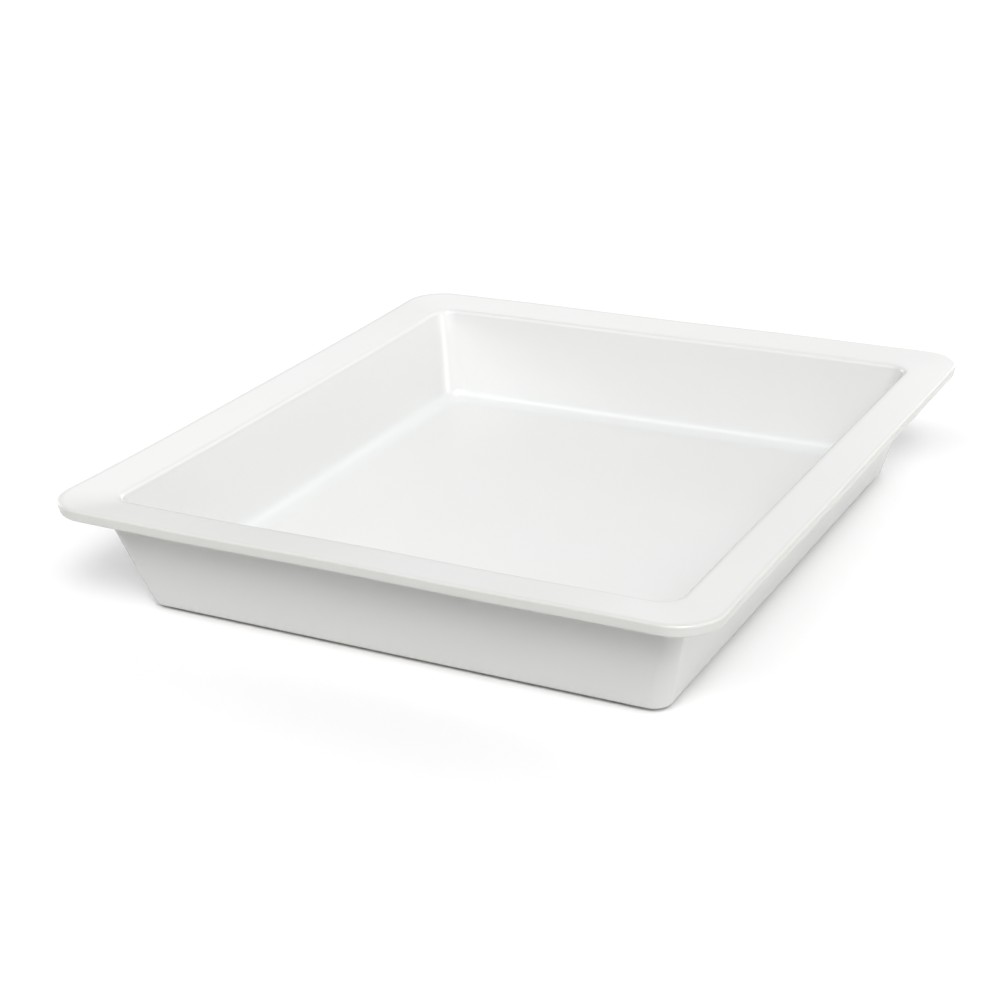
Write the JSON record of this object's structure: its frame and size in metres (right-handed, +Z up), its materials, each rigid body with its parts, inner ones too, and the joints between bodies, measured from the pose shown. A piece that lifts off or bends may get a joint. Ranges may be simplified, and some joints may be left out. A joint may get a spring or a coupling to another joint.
{
  "type": "gastronorm dish",
  "caption": "Shallow white glazed ceramic gastronorm dish: a rectangular well with leaning walls and a wide rim that rests on the edges of a counter opening.",
  "frame": {"origin": "on the table, under the middle of the dish", "axes": "+Z up out of the well, +Y along the longer side of the rim, +X along the shorter side"},
  "size_m": [0.325, 0.354, 0.0595],
  "materials": {
    "white_glaze": "glossy white glaze",
    "bare_clay": "bare fired clay, matt and slightly buff",
    "base_glaze": "glossy white glaze, thinner than the coat"
  },
  "bodies": {
    "root": {"ceramic_body": "bare_clay", "glaze_coat": "white_glaze", "base_glaze": "base_glaze"}
  },
  "joints": []
}
